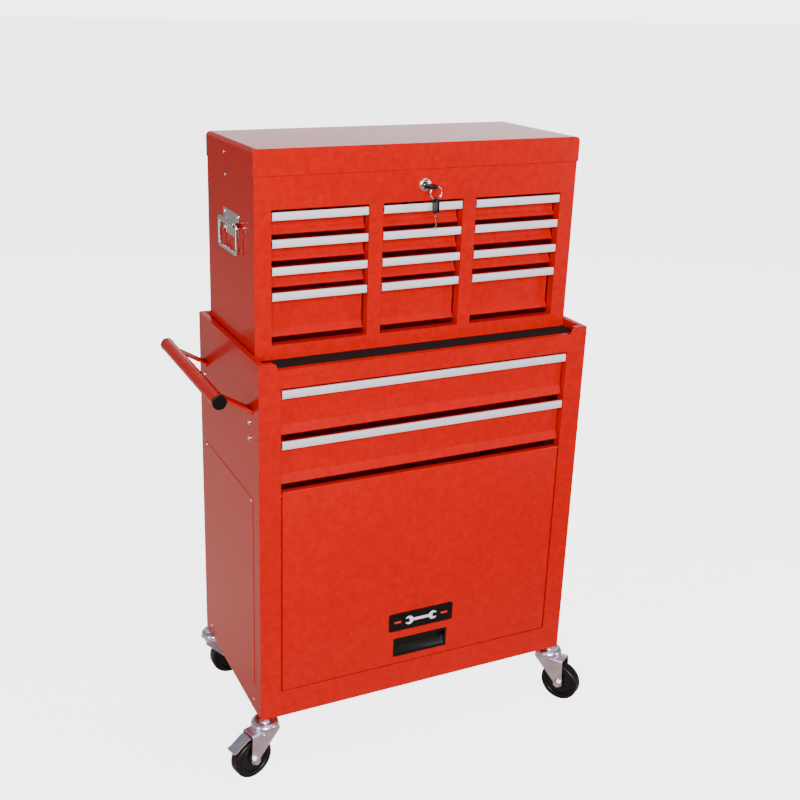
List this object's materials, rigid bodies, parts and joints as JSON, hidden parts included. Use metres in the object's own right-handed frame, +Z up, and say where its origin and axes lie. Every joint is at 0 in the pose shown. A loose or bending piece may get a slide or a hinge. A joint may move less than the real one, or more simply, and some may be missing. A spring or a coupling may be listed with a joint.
{
  "type": "rolling tool chest",
  "caption": "Rolling steel tool cabinet with wide drawers and a flip-up slide-in door, carrying a lift-off top chest of small drawers under a hinged lid.",
  "frame": {"origin": "on the floor, under the middle of the cabinet", "axes": "+Z up, -Y towards the drawer fronts, +X to the right as seen from the front; the push handle is on -X"},
  "size_m": [0.7468, 0.3985, 1.0891],
  "materials": {
    "painted_red": "glossy red powder coat",
    "drawer_red": "glossy red powder coat, with brushed aluminium pulls",
    "foam_mat": "matt black foam sheet",
    "black_plastic": "satin black moulding",
    "zinc": "bright zinc plate",
    "chrome": "bright chrome",
    "name_plate": "plain glossy black plate",
    "wheel_rubber": "hard black rubber",
    "brake_pedal": "bright zinc plate"
  },
  "bodies": {
    "cabinet": {"cabinet_shell": "painted_red", "cabinet_frame": "painted_red", "top_tray": "painted_red", "top_mat": "foam_mat", "bottom_pan": "painted_red", "bay_floor": "painted_red", "side_panels": "painted_red", "handle_tube": "painted_red", "handle_caps": "black_plastic", "handle_brackets": "painted_red", "cabinet_fasteners": "zinc", "cabinet_runners": "zinc", "door_tracks": "zinc", "door_magnets": "zinc", "caster_stems": "zinc"},
    "chest": {"chest_shell": "painted_red", "chest_frame": "painted_red", "chest_dividers": "painted_red", "chest_runners": "zinc", "hinge_leaf_chest": "zinc", "bail_plates": "chrome", "chest_rivets": "zinc", "lock_housing": "chrome"},
    "lid": {"lid": "painted_red", "hinge_leaf_lid": "zinc", "lid_rivets": "zinc"},
    "key": {"lock_plug": "chrome", "key_head": "black_plastic"},
    "bail_left": {"bail_left": "chrome"},
    "bail_right": {"bail_right": "chrome"},
    "wide_drawer_1": {"wide_drawer_1": "drawer_red"},
    "wide_drawer_2": {"wide_drawer_2": "drawer_red"},
    "door_carrier": {"door_carrier": "zinc"},
    "door": {"door_panel": "painted_red", "door_pull_cup": "black_plastic", "name_plate": "name_plate"},
    "drawer_11": {"drawer_11": "drawer_red"},
    "drawer_12": {"drawer_12": "drawer_red"},
    "drawer_13": {"drawer_13": "drawer_red"},
    "drawer_14": {"drawer_14": "drawer_red"},
    "drawer_21": {"drawer_21": "drawer_red"},
    "drawer_22": {"drawer_22": "drawer_red"},
    "drawer_23": {"drawer_23": "drawer_red"},
    "drawer_24": {"drawer_24": "drawer_red"},
    "drawer_31": {"drawer_31": "drawer_red"},
    "drawer_32": {"drawer_32": "drawer_red"},
    "drawer_33": {"drawer_33": "drawer_red"},
    "drawer_34": {"drawer_34": "drawer_red"},
    "caster_front_left": {"fork_front_left": "zinc"},
    "wheel_front_left": {"wheel_front_left": "wheel_rubber"},
    "pedal_front_left": {"pedal_front_left": "brake_pedal"},
    "caster_front_right": {"fork_front_right": "zinc"},
    "wheel_front_right": {"wheel_front_right": "wheel_rubber"},
    "caster_rear_left": {"fork_rear_left": "zinc"},
    "wheel_rear_left": {"wheel_rear_left": "wheel_rubber"},
    "pedal_rear_left": {"pedal_rear_left": "brake_pedal"},
    "caster_rear_right": {"fork_rear_right": "zinc"},
    "wheel_rear_right": {"wheel_rear_right": "wheel_rubber"}
  },
  "joints": [
    {"name": "chest_lift", "type": "slide", "parent": "cabinet", "child": "chest", "axis": [0, 0, 1], "range_m": [0, 0.14]},
    {"name": "lid_hinge", "type": "hinge", "parent": "chest", "child": "lid", "pos_m": [0, 0.1357, 1.04695], "axis": [-1, 0, 0], "range_deg": [0, 95]},
    {"name": "key_turn", "type": "hinge", "parent": "chest", "child": "key", "pos_m": [0, -0.109, 1.0213], "axis": [0, 1, 0], "range_deg": [0, 90]},
    {"name": "bail_left_swing", "type": "hinge", "parent": "chest", "child": "bail_left", "pos_m": [-0.3014, 0.0025, 0.9583], "axis": [0, 1, 0], "range_deg": [0, 100]},
    {"name": "bail_right_swing", "type": "hinge", "parent": "chest", "child": "bail_right", "pos_m": [0.3014, 0.0025, 0.9583], "axis": [0, -1, 0], "range_deg": [0, 100]},
    {"name": "wide_drawer_1_slide", "type": "slide", "parent": "cabinet", "child": "wide_drawer_1", "axis": [0, -1, 0], "range_m": [0, 0.22]},
    {"name": "wide_drawer_2_slide", "type": "slide", "parent": "cabinet", "child": "wide_drawer_2", "axis": [0, -1, 0], "range_m": [0, 0.22]},
    {"name": "door_slide", "type": "slide", "parent": "cabinet", "child": "door_carrier", "axis": [0, 1, 0], "range_m": [0, 0.27]},
    {"name": "door_hinge", "type": "hinge", "parent": "door_carrier", "child": "door", "pos_m": [0, -0.1545, 0.53], "axis": [-1, 0, 0], "range_deg": [0, 90]},
    {"name": "drawer_11_slide", "type": "slide", "parent": "chest", "child": "drawer_11", "axis": [0, -1, 0], "range_m": [0, 0.15]},
    {"name": "drawer_12_slide", "type": "slide", "parent": "chest", "child": "drawer_12", "axis": [0, -1, 0], "range_m": [0, 0.15]},
    {"name": "drawer_13_slide", "type": "slide", "parent": "chest", "child": "drawer_13", "axis": [0, -1, 0], "range_m": [0, 0.15]},
    {"name": "drawer_14_slide", "type": "slide", "parent": "chest", "child": "drawer_14", "axis": [0, -1, 0], "range_m": [0, 0.15]},
    {"name": "drawer_21_slide", "type": "slide", "parent": "chest", "child": "drawer_21", "axis": [0, -1, 0], "range_m": [0, 0.15]},
    {"name": "drawer_22_slide", "type": "slide", "parent": "chest", "child": "drawer_22", "axis": [0, -1, 0], "range_m": [0, 0.15]},
    {"name": "drawer_23_slide", "type": "slide", "parent": "chest", "child": "drawer_23", "axis": [0, -1, 0], "range_m": [0, 0.15]},
    {"name": "drawer_24_slide", "type": "slide", "parent": "chest", "child": "drawer_24", "axis": [0, -1, 0], "range_m": [0, 0.15]},
    {"name": "drawer_31_slide", "type": "slide", "parent": "chest", "child": "drawer_31", "axis": [0, -1, 0], "range_m": [0, 0.15]},
    {"name": "drawer_32_slide", "type": "slide", "parent": "chest", "child": "drawer_32", "axis": [0, -1, 0], "range_m": [0, 0.15]},
    {"name": "drawer_33_slide", "type": "slide", "parent": "chest", "child": "drawer_33", "axis": [0, -1, 0], "range_m": [0, 0.15]},
    {"name": "drawer_34_slide", "type": "slide", "parent": "chest", "child": "drawer_34", "axis": [0, -1, 0], "range_m": [0, 0.15]},
    {"name": "swivel_front_left", "type": "hinge", "parent": "cabinet", "child": "caster_front_left", "pos_m": [-0.297, -0.152, 0.095], "axis": [0, 0, 1], "continuous": true},
    {"name": "roll_front_left", "type": "hinge", "parent": "caster_front_left", "child": "wheel_front_left", "pos_m": [-0.32584, -0.16027, 0.037], "axis": [0.2756, -0.9613, 0], "continuous": true},
    {"name": "brake_front_left", "type": "hinge", "parent": "caster_front_left", "child": "pedal_front_left", "pos_m": [-0.30854, -0.15531, 0.081], "axis": [0.2756, -0.9613, 0], "range_deg": [0, 9]},
    {"name": "swivel_front_right", "type": "hinge", "parent": "cabinet", "child": "caster_front_right", "pos_m": [0.297, -0.152, 0.095], "axis": [0, 0, 1], "continuous": true},
    {"name": "roll_front_right", "type": "hinge", "parent": "caster_front_right", "child": "wheel_front_right", "pos_m": [0.31245, -0.17772, 0.037], "axis": [0.8572, 0.515, 0], "continuous": true},
    {"name": "swivel_rear_left", "type": "hinge", "parent": "cabinet", "child": "caster_rear_left", "pos_m": [-0.297, 0.152, 0.095], "axis": [0, 0, 1], "continuous": true},
    {"name": "roll_rear_left", "type": "hinge", "parent": "caster_rear_left", "child": "wheel_rear_left", "pos_m": [-0.26704, 0.15357, 0.037], "axis": [-0.0523, 0.9986, 0], "continuous": true},
    {"name": "brake_rear_left", "type": "hinge", "parent": "caster_rear_left", "child": "pedal_rear_left", "pos_m": [-0.28502, 0.15263, 0.081], "axis": [-0.0523, 0.9986, 0], "range_deg": [0, 9]},
    {"name": "swivel_rear_right", "type": "hinge", "parent": "cabinet", "child": "caster_rear_right", "pos_m": [0.297, 0.152, 0.095], "axis": [0, 0, 1], "continuous": true},
    {"name": "roll_rear_right", "type": "hinge", "parent": "caster_rear_right", "child": "wheel_rear_right", "pos_m": [0.32519, 0.16226, 0.037], "axis": [-0.342, 0.9397, 0], "continuous": true}
  ]
}
